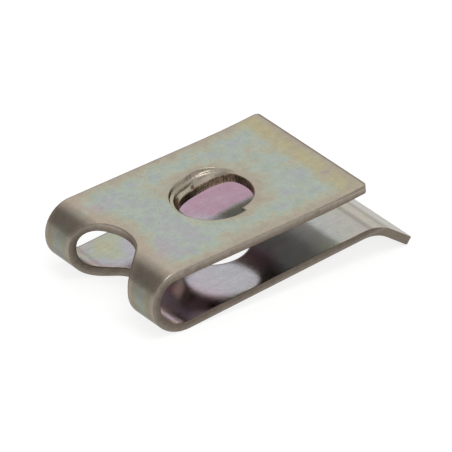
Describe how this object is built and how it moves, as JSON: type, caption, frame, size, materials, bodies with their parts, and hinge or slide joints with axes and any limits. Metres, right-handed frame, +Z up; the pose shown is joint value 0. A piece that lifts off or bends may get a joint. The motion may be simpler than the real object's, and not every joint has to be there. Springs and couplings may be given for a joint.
{
  "type": "u clip speed nut",
  "caption": "Folded spring-steel U clip with a formed helical thread in one leg and a clearance hole in the other.",
  "frame": {"origin": "centre of the clip's bounding box in plan, on the surface it stands on", "axes": "+X towards the open end, along the longest extent; +Z up, out of the leg with the formed thread"},
  "size_m": [0.0248, 0.013, 0.0068],
  "materials": {
    "passivated_steel": "zinc plated and passivated: faintly iridescent grey with yellow, green and lilac patches"
  },
  "bodies": {
    "root": {"u_clip": "passivated_steel"}
  },
  "joints": []
}
